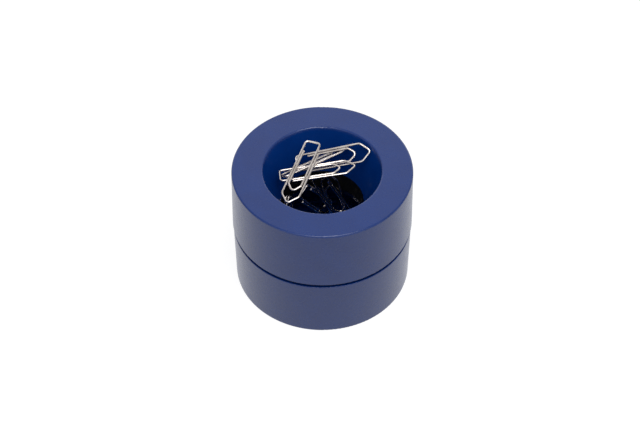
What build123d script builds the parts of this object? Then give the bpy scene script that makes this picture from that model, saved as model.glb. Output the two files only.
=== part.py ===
from build123d import *
import math
import os

# Magnetic paper clip holder, in millimetres, standing on z = 0 with its axis on Z.

# Outside of the two mouldings, which both widen towards the seam between them
height = 58.0
seam_radius = 37.0
top_draft = 0.5
cup_inset = 0.25
cup_draft = 0.35
seam_height = 28.7
seam_gap = 1.8
top_edge_radius = 0.7
seam_edge_radius = 0.25
bottom_edge_radius = 0.4

# Walls
side_wall = 2.4
top_plate = 2.4
cup_floor = 2.6
cup_floor_fillet = 2.5

# Mouth, funnel and throat
mouth_radius = 24.1
throat_radius = 17.0
funnel_wall = 2.2
rim_edge_radius = 0.7

# Ring magnet between funnel and seam, its bore a little wider than the throat
magnet_bore_step = 0.3
magnet_width = 9.7
magnet_thickness = 9.8
magnet_chamfer = 0.6
magnet_clearance = 0.2

# Stiffening ribs inside the top moulding
rib_count = 8
rib_thickness = 1.6
rib_clearance = 0.5

# Retainer that holds the magnet up and plugs into the cup
retainer_plate = 2.0
retainer_bore_clearance = 0.5
retainer_wall = 1.9
collar_recess = 1.8
upstand_height = 3.2
upstand_clearance = 0.25
snap_drop = 1.3
snap_bead = 0.5
snap_clearance = 0.15
spigot_depth = 5.0
spigot_clearance = 0.3
spigot_lead_in = 0.6
cup_lead_in = 0.3

# Non-slip foot ring let into the underside
foot_proud = 0.2
foot_groove_depth = 1.0
foot_inset = 4.4
foot_width = 7.0
foot_clearance = 0.15

# Paper clip, bent from round wire with a flat end and a pointed end
wire_diameter = 0.85
clip_length = 32.0
clip_flat_width = 7.0
clip_shoulder_width = 8.4
clip_tip_length = 4.6
clip_leg_gap = 0.1
clip_inner_setback = 5.9
clip_inner_tip_length = 3.4
clip_free_end = 5.5
clip_corner_bend = 1.2
clip_shoulder_bend = 2.4
clip_tip_bend = 1.2
clip_inner_shoulder_bend = 1.6
clip_inner_tip_bend = 1.4
clip_clearance = 0.2
clip_seat_samples = 200

# Heights and radii worked out from the sizes above
top_radius = seam_radius - top_draft
cup_radius = seam_radius - cup_inset
bottom_radius = cup_radius - cup_draft
seam_top = seam_height + seam_gap / 2
seam_bottom = seam_height - seam_gap / 2
upper_slope = top_draft / (height - seam_top)
lower_slope = cup_draft / (seam_bottom - foot_proud)
magnet_bottom = seam_top
magnet_top = magnet_bottom + magnet_thickness
funnel_slope = (mouth_radius - throat_radius) / (height - magnet_top)
funnel_offset = funnel_wall * math.hypot(1, funnel_slope)
cup_floor_top = foot_proud + cup_floor
cup_bore_radius = cup_radius - side_wall
foot_outer_radius = bottom_radius - foot_inset
foot_inner_radius = foot_outer_radius - foot_width
foot_top = foot_proud + foot_groove_depth
magnet_bore_radius = throat_radius + magnet_bore_step
magnet_outer_radius = magnet_bore_radius + magnet_width
retainer_bottom = magnet_bottom - retainer_plate
upstand_top = seam_top + upstand_height
snap_height = upstand_top - snap_drop


def skirt_inside(z):
    """Inside radius of the top moulding's skirt at a height."""
    return top_radius + (height - z) * upper_slope - side_wall


upstand_radius = skirt_inside(snap_height) - upstand_clearance


def cup_inside(z):
    """Inside radius of the cup at a height."""
    return cup_bore_radius - (seam_bottom - z) * lower_slope


def funnel_outside(z):
    """Outside radius of the funnel wall at a height."""
    return throat_radius + (z - magnet_top) * funnel_slope + funnel_offset


def turned(points):
    """Solid of revolution about Z from (radius, height) points."""
    outline = Polyline(*[(r, 0, z) for r, z in points], close=True)
    return revolve(make_face(outline), Axis.Z)


def circles_at(solid, radius, z):
    """Circular edges of a solid with this radius, at this height."""
    edges = solid.edges().filter_by(GeomType.CIRCLE)
    return edges.filter_by(lambda e: abs(e.radius - radius) < 0.01 and abs(e.center().Z - z) < 0.01)


# Base cup: tapered wall, floor, and a groove in the underside for the foot ring
def make_base_cup():
    cup = turned(
        [
            (0, foot_proud),
            (bottom_radius, foot_proud),
            (cup_radius, seam_bottom),
            (cup_bore_radius + cup_lead_in, seam_bottom),
            (cup_bore_radius, seam_bottom - cup_lead_in),
            (cup_inside(cup_floor_top), cup_floor_top),
            (0, cup_floor_top),
        ]
    )
    cup = fillet(circles_at(cup, bottom_radius, foot_proud), bottom_edge_radius)
    cup = fillet(circles_at(cup, cup_radius, seam_bottom), seam_edge_radius)
    cup = fillet(circles_at(cup, cup_inside(cup_floor_top), cup_floor_top), cup_floor_fillet)
    groove = turned(
        [
            (foot_inner_radius - foot_clearance, 0),
            (foot_outer_radius + foot_clearance, 0),
            (foot_outer_radius + foot_clearance, foot_top),
            (foot_inner_radius - foot_clearance, foot_top),
        ]
    )
    return cup - groove


# Foot ring: flat soft ring that stands proud of the underside
def make_foot_ring():
    return turned(
        [
            (foot_inner_radius, 0),
            (foot_outer_radius, 0),
            (foot_outer_radius, foot_top),
            (foot_inner_radius, foot_top),
        ]
    )


# Top shell: skirt, flat top, funnel and the ribs between funnel and skirt, in one moulding
def make_top_shell():
    under_top = height - top_plate
    shell = turned(
        [
            (seam_radius, seam_top),
            (top_radius, height),
            (mouth_radius, height),
            (throat_radius, magnet_top),
            (funnel_outside(magnet_top), magnet_top),
            (funnel_outside(under_top), under_top),
            (skirt_inside(under_top), under_top),
            (skirt_inside(seam_top), seam_top),
        ]
    )
    shell = fillet(circles_at(shell, top_radius, height), top_edge_radius)
    shell = fillet(circles_at(shell, seam_radius, seam_top), seam_edge_radius)
    shell = fillet(circles_at(shell, mouth_radius, height), rim_edge_radius)
    shell = shell + make_ribs()
    return shell - make_snap_groove()


def make_ribs():
    """Radial ribs that stiffen the top and centre the magnet."""
    rib_top = height - top_plate / 2
    rib_bottom = upstand_top + rib_clearance
    funnel_middle = funnel_wall / 2
    seat = magnet_outer_radius + magnet_clearance
    outline = Polyline(
        (funnel_outside(magnet_top) - funnel_middle, 0, magnet_top),
        (seat, 0, magnet_top),
        (seat, 0, rib_bottom),
        (skirt_inside(rib_bottom) + side_wall / 2, 0, rib_bottom),
        (skirt_inside(rib_top) + side_wall / 2, 0, rib_top),
        (funnel_outside(rib_top) - funnel_middle, 0, rib_top),
        close=True,
    )
    rib = extrude(make_face(outline), rib_thickness / 2, both=True)
    return [Rot(0, 0, i * 360 / rib_count) * rib for i in range(rib_count)]


def snap_ring(base_radius, reach, middle, half_height):
    """Ring of triangular section that reaches out from a round wall."""
    return turned(
        [
            (base_radius, middle - half_height),
            (base_radius + reach, middle),
            (base_radius, middle + half_height),
        ]
    )


def make_snap_groove():
    """Groove inside the skirt that the retainer's bead snaps into."""
    reach = snap_bead + snap_clearance
    return snap_ring(upstand_radius, reach, snap_height, reach + snap_clearance)


# Ring magnet
def make_ring_magnet():
    magnet = turned(
        [
            (magnet_bore_radius, magnet_bottom),
            (magnet_outer_radius, magnet_bottom),
            (magnet_outer_radius, magnet_top),
            (magnet_bore_radius, magnet_top),
        ]
    )
    return chamfer(magnet.edges().filter_by(GeomType.CIRCLE), magnet_chamfer)


# Magnet retainer: plate under the magnet, upstand with a snap bead, collar and plug spigot
def make_magnet_retainer():
    spigot_radius = cup_inside(seam_bottom - spigot_depth) - spigot_clearance
    spigot_bottom = seam_bottom - spigot_depth
    collar_radius = cup_radius - collar_recess
    wall_inside = spigot_radius - retainer_wall
    ring = turned(
        [
            (wall_inside, spigot_bottom),
            (spigot_radius - spigot_lead_in, spigot_bottom),
            (spigot_radius, spigot_bottom + spigot_lead_in),
            (spigot_radius, seam_bottom),
            (collar_radius, seam_bottom),
            (collar_radius, seam_top),
            (upstand_radius, seam_top),
            (upstand_radius, upstand_top),
            (wall_inside, upstand_top),
        ]
    )
    plate = turned(
        [
            (magnet_bore_radius + retainer_bore_clearance, retainer_bottom),
            (wall_inside + retainer_wall / 2, retainer_bottom),
            (wall_inside + retainer_wall / 2, magnet_bottom),
            (magnet_bore_radius + retainer_bore_clearance, magnet_bottom),
        ]
    )
    return ring + plate + snap_ring(upstand_radius, snap_bead, snap_height, snap_bead)


# Paper clip: one planar spiral of wire, along X from its flat end to its point, centred on its length
def make_clip_path():
    wire_radius = wire_diameter / 2
    leg_pitch = wire_diameter + clip_leg_gap
    shoulder_at = clip_length - clip_tip_length
    flat_half = clip_flat_width / 2 - wire_radius
    shoulder_half = clip_shoulder_width / 2 - wire_radius

    def half_width(along):
        return flat_half + (shoulder_half - flat_half) * along / shoulder_at

    tip = clip_length - wire_radius
    inner_tip = tip - clip_inner_setback
    inner_shoulder = inner_tip - clip_inner_tip_length
    corners = [
        (clip_free_end, flat_half + leg_pitch),
        (shoulder_at, shoulder_half),
        (tip, 0),
        (shoulder_at, -shoulder_half),
        (wire_radius, -flat_half),
        (wire_radius, flat_half),
        (inner_shoulder, half_width(inner_shoulder) - leg_pitch),
        (inner_tip, 0),
        (inner_shoulder, leg_pitch - half_width(inner_shoulder)),
        (clip_free_end, leg_pitch - half_width(clip_free_end)),
    ]
    bends = [
        clip_shoulder_bend,
        clip_tip_bend,
        clip_shoulder_bend,
        clip_corner_bend,
        clip_corner_bend,
        clip_inner_shoulder_bend,
        clip_inner_tip_bend,
        clip_inner_shoulder_bend,
    ]
    return FilletPolyline(*[(x - clip_length / 2, y, 0) for x, y in corners], radius=bends)


def make_paper_clip(path):
    section = Plane(origin=path @ 0, z_dir=path % 0) * Circle(wire_diameter / 2)
    return sweep(section, path)


def heaped(across, back, level, heading, rise, roll):
    """Place of a clip in the heap, before the heap is seated.

    Its middle is given as shares of the mouth's radius, its level in wire diameters, then the way its
    point heads and rises, and how far the clip rolls about its length.
    """
    middle = Pos(across * mouth_radius, back * mouth_radius, level * wire_diameter)
    return middle * Rot(0, 0, heading) * Rot(0, -rise, 0) * Rot(roll, 0, 0)


def seat_height(place, path):
    """How far a clip is raised until its wire just clears the funnel wall, or the rim outside it."""
    room = wire_diameter / 2 + clip_clearance
    side_room = room * math.hypot(1, funnel_slope)
    rises = []
    for step in range(clip_seat_samples + 1):
        point = (place * Pos(path @ (step / clip_seat_samples))).position
        radius = math.hypot(point.X, point.Y) + side_room
        wall_height = height - (mouth_radius - radius) / funnel_slope
        rises.append(min(wall_height, height + room) - point.Z)
    return max(rises)


def hanging(bearing, rise, lean, point_up, layers_inside=0):
    """Place of a clip held in the magnet's bore at a bearing, leaning sideways from its top end.

    Its top end rises this many wire diameters above the magnet, or further if the clip would go through
    the cup's floor. A clip that clings to others lies some layers of wire inside the bore.
    """
    half = clip_shoulder_width / 2
    slant = math.radians(abs(lean))
    standing = clip_length * math.cos(slant) + half * math.sin(slant)
    top = max(magnet_top + rise * wire_diameter, cup_floor_top + clip_clearance + standing)
    reach = half / math.cos(slant) + (top - magnet_bottom) * math.tan(slant)
    free_radius = magnet_bore_radius - wire_diameter / 2 - clip_clearance
    stand_off = math.sqrt(free_radius**2 - reach**2) - layers_inside * (wire_diameter + clip_clearance)
    outward = Vector(1, 0, 0).rotate(Axis.Z, bearing)
    sideways = Vector(0, 1, 0).rotate(Axis.Z, bearing)
    down = sideways * math.sin(math.radians(lean)) - Vector(0, 0, math.cos(slant))
    middle = outward * stand_off + Vector(0, 0, top) + down * (clip_length / 2)
    along = -down if point_up else down
    return Plane(origin=middle, x_dir=along, z_dir=outward).location


def lying(across, back, heading):
    """Place of a spare clip flat on the cup's floor, its middle given as shares of the cup's radius."""
    level = cup_floor_top + wire_diameter / 2 + clip_clearance
    return Pos(across * cup_bore_radius, back * cup_bore_radius, level) * Rot(0, 0, heading)


# Clips that bridge the funnel in a heap, from the top one down
heap = [
    heaped(-0.369, 0.060, 3.48, -110, -10, 3),
    heaped(-0.075, 0.190, 0.87, 6.5, 4.5, 177),
    heaped(-0.111, 0.440, 0, 30.8, 1.6, -38),
    heaped(0.191, 0.494, 1.27, 0.7, 13.3, -143.5),
]

# Clips that hang in the magnet's bore
bore_clips = [
    hanging(81.7, 0.45, -10.4, True),
    hanging(139.3, -1.04, -33.7, False, 2.05),
    hanging(160, -2.8, -6, True),
    hanging(205, -1.6, -10, False),
    hanging(248, -3.4, -12, False),
    hanging(295, -1.4, -8, True),
    hanging(157.8, -2.5, 5.3, True, 1.2),
    hanging(99.2, 3.5, -24.2, False, 1.87),
]

# Spare clips in the cup
spare_clips = [
    lying(0.32, 0.54, -25),
    lying(-0.49, 0.41, 55),
    lying(0.06, -0.58, 10),
]

clip_path = make_clip_path()
paper_clip = make_paper_clip(clip_path)
heap_height = max(seat_height(place, clip_path) for place in heap)
clip_places = [Pos(0, 0, heap_height) * place for place in heap] + bore_clips + spare_clips

nodes = {
    "base_cup": make_base_cup(),
    "foot_ring": make_foot_ring(),
    "top_shell": make_top_shell(),
    "ring_magnet": make_ring_magnet(),
    "magnet_retainer": make_magnet_retainer(),
}
for number, place in enumerate(clip_places, start=1):
    nodes[f"paper_clip_{number:02d}"] = place * paper_clip

os.makedirs("parts", exist_ok=True)
for name, solid in nodes.items():
    export_step(solid, f"parts/{name}.step")
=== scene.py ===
import math

import bpy
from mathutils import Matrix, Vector


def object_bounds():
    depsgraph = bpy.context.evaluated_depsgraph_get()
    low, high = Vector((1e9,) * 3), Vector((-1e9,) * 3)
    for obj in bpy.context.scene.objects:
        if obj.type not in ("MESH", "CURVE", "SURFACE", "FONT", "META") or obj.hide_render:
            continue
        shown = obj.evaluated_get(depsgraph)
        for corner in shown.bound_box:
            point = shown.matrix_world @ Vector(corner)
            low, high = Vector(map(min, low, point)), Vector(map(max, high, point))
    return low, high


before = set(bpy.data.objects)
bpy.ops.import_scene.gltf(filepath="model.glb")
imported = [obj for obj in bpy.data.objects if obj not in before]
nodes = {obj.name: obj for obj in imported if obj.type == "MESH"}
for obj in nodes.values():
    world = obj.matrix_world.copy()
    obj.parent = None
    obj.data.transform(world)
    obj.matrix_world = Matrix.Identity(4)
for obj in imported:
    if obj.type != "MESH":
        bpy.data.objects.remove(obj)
cad_low, cad_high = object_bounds()

MM = 0.001
WHITE = (1, 1, 1, 1)

# Camera, at the angle and distance of the photograph
CAMERA_DISTANCE = 0.6794
CAMERA_ELEVATION = 47.51
CAMERA_PITCH = 47.41
CAMERA_LENS = 92.45
CAMERA_SENSOR = 36
CAMERA_SHIFT_X = -0.0036
TARGET_HEIGHT = 0.030

# Sky, with its brightness in reflections at steps of the direction's Y
SKY_STRENGTH = 0.49
SKY_REFLECTED = (
    (-1.0, 0.3),
    (-0.7, 1.3),
    (-0.2, 0.5),
    (0.45, 0.5),
    (0.66, 0.95),
    (0.76, 1.3),
    (1.0, 1.5),
)

# Soft box
KEY_POWER = 6.0
KEY_SIZE = 0.6
KEY_PLACE = (0.12, -0.33, 1.08)

# Floor, which is brighter where it is seen than in the light that it throws back
FLOOR_SIZE = 8.0
FLOOR_DROP = 0.05 * MM
FLOOR_COLOUR = (0.30, 0.30, 0.30, 1)
FLOOR_SEEN_COLOUR = (0.25, 0.25, 0.25, 1)
FLOOR_SEEN_GLOW = 0.86

# Values that most of a noise texture lies between
NOISE_RANGE = (0.3, 0.7)

# Plastic, textured but for a smooth part within a radius of the axis
PLASTIC_DEEP = (0.0006, 0.026, 0.167)
PLASTIC_LIGHT = (0.0010, 0.030, 0.186)
# Retainer plastic, much darker than the body's: painted shade that stands for the shadowed seam gap and
# the dark bore
RETAINER_PAINTED_SHADE_DEEP = (0.0016, 0.008, 0.045)
RETAINER_PAINTED_SHADE_LIGHT = (0.0024, 0.011, 0.058)
PLASTIC_CLOUD_SIZE = 9 * MM
PLASTIC_CLOUD_RANGE = (0.35, 0.65)
PLASTIC_PATCH_SIZE = 3.5 * MM
PLASTIC_GRAIN_SIZE = 0.22 * MM
PLASTIC_GRAIN_HEIGHT = 0.012 * MM
PLASTIC_IOR = 1.53
TEXTURED_ROUGHNESS = 0.27
TEXTURED_GRAIN = 0.4
TEXTURED_SPECULAR = 0.5
SMOOTH_ROUGHNESS = 0.2
SMOOTH_GRAIN = 0.08
SMOOTH_SPECULAR = 0.02
SMOOTH_EDGE_WIDTH = 0.4 * MM
ROUGHNESS_SPREAD = 0.02
FUNNEL_RADIUS = 23.9 * MM
CUP_BORE_RADIUS = 34.5 * MM

# Magnet
FERRITE_DARK = (0.002, 0.002, 0.0025)
FERRITE_LIGHT = (0.009, 0.009, 0.010)
FERRITE_GRAIN_SIZE = 0.35 * MM
FERRITE_GRAIN_HEIGHT = 0.02 * MM
FERRITE_GRAIN_RANGE = (0.35, 0.7)
FERRITE_ROUGHNESS = (0.45, 0.62)
FERRITE_SPECULAR = 0.25

# Foot
RUBBER_CLEAN = (0.012, 0.012, 0.013)
RUBBER_DUSTY = (0.030, 0.030, 0.031)
RUBBER_GRAIN_SIZE = 0.5 * MM
RUBBER_GRAIN_HEIGHT = 0.05 * MM
RUBBER_DUST_SIZE = 6 * MM
RUBBER_DUST_RANGE = (0.45, 0.75)
RUBBER_ROUGHNESS = (0.72, 0.9)

# Paper clips
WIRE_BRIGHT = (0.84, 0.775, 0.735)
WIRE_TARNISHED = (0.60, 0.545, 0.505)
WIRE_TARNISH_SIZE = 6 * MM
WIRE_TARNISH_RANGE = (0.35, 0.7)
WIRE_SCUFF_SIZE = 0.3 * MM
WIRE_SCUFF_HEIGHT = 0.002 * MM
WIRE_ROUGHNESS = (0.19, 0.27)


class Shader:
    """A material built node by node, ending in one Principled shader."""

    def __init__(self, name):
        self.material = bpy.data.materials.new(name)
        self.material.use_nodes = True
        self.tree = self.material.node_tree
        self.surface = self.tree.nodes["Principled BSDF"].inputs
        self.place = self.add("ShaderNodeTexCoord").outputs["Object"]

    def add(self, kind, **settings):
        node = self.tree.nodes.new(kind)
        for key, value in settings.items():
            setattr(node, key, value)
        return node

    def join(self, source, socket):
        self.tree.links.new(source, socket)

    def noise(self, size, detail=2.0, roughness=0.5):
        """Noise whose features are about this many metres across."""
        texture = self.add("ShaderNodeTexNoise")
        texture.inputs["Scale"].default_value = 1 / size
        texture.inputs["Detail"].default_value = detail
        texture.inputs["Roughness"].default_value = roughness
        self.join(self.place, texture.inputs["Vector"])
        return texture.outputs["Fac"]

    def axis_distance(self):
        """Distance from the holder's axis."""
        flat = self.add("ShaderNodeVectorMath", operation="MULTIPLY")
        flat.inputs[1].default_value = (1, 1, 0)
        self.join(self.place, flat.inputs[0])
        length = self.add("ShaderNodeVectorMath", operation="LENGTH")
        self.join(flat.outputs[0], length.inputs[0])
        return length.outputs["Value"]

    def remap(self, source, from_range, to_range):
        """The source moved from one range of values to another, and kept within it."""
        node = self.add("ShaderNodeMapRange", clamp=True)
        for socket, value in zip(node.inputs[1:5], (*from_range, *to_range)):
            socket.default_value = value
        self.join(source, node.inputs[0])
        return node.outputs[0]

    def mottle(self, texture, texture_range, first, second):
        """Base colour that changes from the first to the second over a range of the texture."""
        mix = self.add("ShaderNodeMix", data_type="RGBA")
        mix.inputs[6].default_value = (*first, 1)
        mix.inputs[7].default_value = (*second, 1)
        self.join(self.remap(texture, texture_range, (0, 1)), mix.inputs[0])
        self.join(mix.outputs[2], self.surface["Base Color"])

    def roughen(self, texture, to_range):
        """Roughness that varies within a range with the texture."""
        self.join(self.remap(texture, NOISE_RANGE, to_range), self.surface["Roughness"])

    def bump(self, texture, height):
        """Fine relief from the texture. Returns the socket of its strength."""
        node = self.add("ShaderNodeBump")
        node.inputs["Strength"].default_value = 1.0
        node.inputs["Distance"].default_value = height
        self.join(texture, node.inputs["Height"])
        self.join(node.outputs[0], self.surface["Normal"])
        return node.inputs["Strength"]


def dyed_plastic(name, deep, light):
    """Moulded plastic without its finish. Returns the shader, a patchy noise and the grain's strength."""
    shader = Shader(name)
    clouds = shader.noise(PLASTIC_CLOUD_SIZE, detail=3.0)
    shader.mottle(clouds, PLASTIC_CLOUD_RANGE, deep, light)
    patches = shader.noise(PLASTIC_PATCH_SIZE, detail=4.0)
    grain_strength = shader.bump(shader.noise(PLASTIC_GRAIN_SIZE), PLASTIC_GRAIN_HEIGHT)
    shader.surface["IOR"].default_value = PLASTIC_IOR
    return shader, patches, grain_strength


def textured_plastic(name, deep, light):
    """Moulded plastic with a fine texture all over."""
    shader, patches, grain_strength = dyed_plastic(name, deep, light)
    shader.roughen(patches, (TEXTURED_ROUGHNESS - ROUGHNESS_SPREAD, TEXTURED_ROUGHNESS + ROUGHNESS_SPREAD))
    grain_strength.default_value = TEXTURED_GRAIN
    shader.surface["Specular IOR Level"].default_value = TEXTURED_SPECULAR
    return shader.material


def part_smooth_plastic(name, deep, light, smooth_radius):
    """Moulded plastic with a fine texture, but smoother and less shiny within a radius of the axis."""
    shader, patches, grain_strength = dyed_plastic(name, deep, light)
    distance = shader.axis_distance()
    edge = (smooth_radius - SMOOTH_EDGE_WIDTH, smooth_radius)
    roughness = shader.add("ShaderNodeMath", operation="ADD")
    spread = shader.remap(patches, NOISE_RANGE, (-ROUGHNESS_SPREAD, ROUGHNESS_SPREAD))
    shader.join(shader.remap(distance, edge, (SMOOTH_ROUGHNESS, TEXTURED_ROUGHNESS)), roughness.inputs[0])
    shader.join(spread, roughness.inputs[1])
    shader.join(roughness.outputs[0], shader.surface["Roughness"])
    shader.join(shader.remap(distance, edge, (SMOOTH_GRAIN, TEXTURED_GRAIN)), grain_strength)
    specular = shader.remap(distance, edge, (SMOOTH_SPECULAR, TEXTURED_SPECULAR))
    shader.join(specular, shader.surface["Specular IOR Level"])
    return shader.material


def sintered_ferrite():
    """Black fired magnet with a fine ground grain."""
    shader = Shader("sintered_ferrite")
    grain = shader.noise(FERRITE_GRAIN_SIZE, detail=4.0, roughness=0.65)
    shader.mottle(grain, FERRITE_GRAIN_RANGE, FERRITE_DARK, FERRITE_LIGHT)
    shader.roughen(grain, FERRITE_ROUGHNESS)
    shader.surface["Specular IOR Level"].default_value = FERRITE_SPECULAR
    shader.bump(grain, FERRITE_GRAIN_HEIGHT)
    return shader.material


def foot_rubber():
    """Soft black rubber with a dull, slightly dusty grain."""
    shader = Shader("foot_rubber")
    grain = shader.noise(RUBBER_GRAIN_SIZE, detail=5.0)
    dust = shader.noise(RUBBER_DUST_SIZE, detail=4.0)
    shader.mottle(dust, RUBBER_DUST_RANGE, RUBBER_CLEAN, RUBBER_DUSTY)
    shader.roughen(grain, RUBBER_ROUGHNESS)
    shader.bump(grain, RUBBER_GRAIN_HEIGHT)
    return shader.material


def plated_wire():
    """Bright plated steel wire with faint handling marks."""
    shader = Shader("plated_wire")
    tarnish = shader.noise(WIRE_TARNISH_SIZE)
    scuffs = shader.noise(WIRE_SCUFF_SIZE, detail=3.0, roughness=0.6)
    shader.mottle(tarnish, WIRE_TARNISH_RANGE, WIRE_BRIGHT, WIRE_TARNISHED)
    shader.surface["Metallic"].default_value = 1.0
    shader.roughen(scuffs, WIRE_ROUGHNESS)
    shader.bump(scuffs, WIRE_SCUFF_HEIGHT)
    return shader.material


def dress(node_name, material):
    """Gives a CAD node one material."""
    slots = nodes[node_name].data.materials
    slots.clear()
    slots.append(material)


def rays_of(tree, *kinds):
    """One for rays of these kinds, and nought for others."""
    path = tree.nodes.new("ShaderNodeLightPath")
    found = path.outputs[f"Is {kinds[0]} Ray"]
    for kind in kinds[1:]:
        either = tree.nodes.new("ShaderNodeMath")
        either.operation = "MAXIMUM"
        tree.links.new(found, either.inputs[0])
        tree.links.new(path.outputs[f"Is {kind} Ray"], either.inputs[1])
        found = either.outputs[0]
    return found


def mix_shaders(tree, factor, first, second):
    """The first shader where the factor is nought, and the second where it is one."""
    mix = tree.nodes.new("ShaderNodeMixShader")
    for socket, source in zip(mix.inputs, (factor, first, second)):
        tree.links.new(source, socket)
    return mix.outputs[0]


def reflected_bands(tree):
    """Sky of soft bands from front to back, for reflections."""
    direction = tree.nodes.new("ShaderNodeTexCoord")
    split = tree.nodes.new("ShaderNodeSeparateXYZ")
    share = tree.nodes.new("ShaderNodeMapRange")
    for socket, value in zip(share.inputs[1:5], (-1, 1, 0, 1)):
        socket.default_value = value
    bands = tree.nodes.new("ShaderNodeValToRGB")
    stops = bands.color_ramp.elements
    while len(stops) < len(SKY_REFLECTED):
        stops.new(1.0)
    brightest = max(level for y, level in SKY_REFLECTED)
    for stop, (y, level) in zip(stops, SKY_REFLECTED):
        stop.position = (y + 1) / 2
        stop.color = (level / brightest, level / brightest, level / brightest, 1)
    sky = tree.nodes.new("ShaderNodeBackground")
    sky.inputs["Strength"].default_value = brightest
    tree.links.new(direction.outputs["Generated"], split.inputs[0])
    tree.links.new(split.outputs["Y"], share.inputs[0])
    tree.links.new(share.outputs[0], bands.inputs[0])
    tree.links.new(bands.outputs["Color"], sky.inputs["Color"])
    return sky.outputs[0]


def make_sky():
    """Even studio surround: plain white light, a white background, and soft bands in the reflections."""
    world = bpy.data.worlds.new("studio")
    bpy.context.scene.world = world
    world.use_nodes = True
    tree = world.node_tree
    plain = tree.nodes["Background"]
    plain.inputs["Color"].default_value = WHITE
    plain.inputs["Strength"].default_value = SKY_STRENGTH
    shown = tree.nodes.new("ShaderNodeBackground")
    shown.inputs["Color"].default_value = WHITE
    lit = mix_shaders(tree, rays_of(tree, "Glossy"), plain.outputs[0], reflected_bands(tree))
    surface = mix_shaders(tree, rays_of(tree, "Camera", "Transmission"), lit, shown.outputs[0])
    tree.links.new(surface, tree.nodes["World Output"].inputs["Surface"])


def make_floor():
    """Plain pale table top that nearly melts into the white background."""
    bpy.ops.mesh.primitive_plane_add(size=FLOOR_SIZE, location=(0, 0, cad_low.z - FLOOR_DROP))
    floor = bpy.context.object
    floor.name = "floor"
    material = bpy.data.materials.new("pale_floor")
    material.use_nodes = True
    tree = material.node_tree
    tree.nodes.remove(tree.nodes["Principled BSDF"])
    plain = tree.nodes.new("ShaderNodeBsdfDiffuse")
    plain.inputs["Color"].default_value = FLOOR_COLOUR
    lit = tree.nodes.new("ShaderNodeBsdfDiffuse")
    lit.inputs["Color"].default_value = FLOOR_SEEN_COLOUR
    glow = tree.nodes.new("ShaderNodeEmission")
    glow.inputs["Strength"].default_value = FLOOR_SEEN_GLOW
    bright = tree.nodes.new("ShaderNodeAddShader")
    tree.links.new(lit.outputs[0], bright.inputs[0])
    tree.links.new(glow.outputs[0], bright.inputs[1])
    seen = rays_of(tree, "Camera", "Glossy", "Transmission")
    surface = mix_shaders(tree, seen, plain.outputs[0], bright.outputs[0])
    tree.links.new(surface, tree.nodes["Material Output"].inputs["Surface"])
    floor.data.materials.append(material)


def make_key_light():
    """Large soft box over the holder."""
    light = bpy.data.lights.new("soft_box", "AREA")
    light.energy = KEY_POWER
    light.size = KEY_SIZE
    lamp = bpy.data.objects.new("soft_box", light)
    bpy.context.scene.collection.objects.link(lamp)
    lamp.location = KEY_PLACE
    aim = Vector((0, 0, TARGET_HEIGHT)) - lamp.location
    lamp.rotation_euler = aim.to_track_quat("-Z", "Y").to_euler()


def make_camera():
    """Camera in front of the holder, looking down on it."""
    data = bpy.data.cameras.new("camera")
    data.lens = CAMERA_LENS
    data.sensor_width = CAMERA_SENSOR
    data.shift_x = CAMERA_SHIFT_X
    camera = bpy.data.objects.new("camera", data)
    bpy.context.scene.collection.objects.link(camera)
    elevation = math.radians(CAMERA_ELEVATION)
    camera.location = (
        0,
        -CAMERA_DISTANCE * math.cos(elevation),
        TARGET_HEIGHT + CAMERA_DISTANCE * math.sin(elevation),
    )
    camera.rotation_euler = (math.radians(90 - CAMERA_PITCH), 0, 0)
    bpy.context.scene.camera = camera


dress("top_shell", part_smooth_plastic("top_plastic", PLASTIC_DEEP, PLASTIC_LIGHT, FUNNEL_RADIUS))
dress("base_cup", part_smooth_plastic("cup_plastic", PLASTIC_DEEP, PLASTIC_LIGHT, CUP_BORE_RADIUS))
# The retainer's dark plastic is painted shade for the seam gap and the bore
dress("magnet_retainer", textured_plastic("retainer_plastic", RETAINER_PAINTED_SHADE_DEEP, RETAINER_PAINTED_SHADE_LIGHT))
dress("ring_magnet", sintered_ferrite())
dress("foot_ring", foot_rubber())
wire = plated_wire()
for name in nodes:
    if name.startswith("paper_clip"):
        dress(name, wire)

make_sky()
make_floor()
make_key_light()
make_camera()
bpy.context.scene.view_settings.view_transform = "Standard"
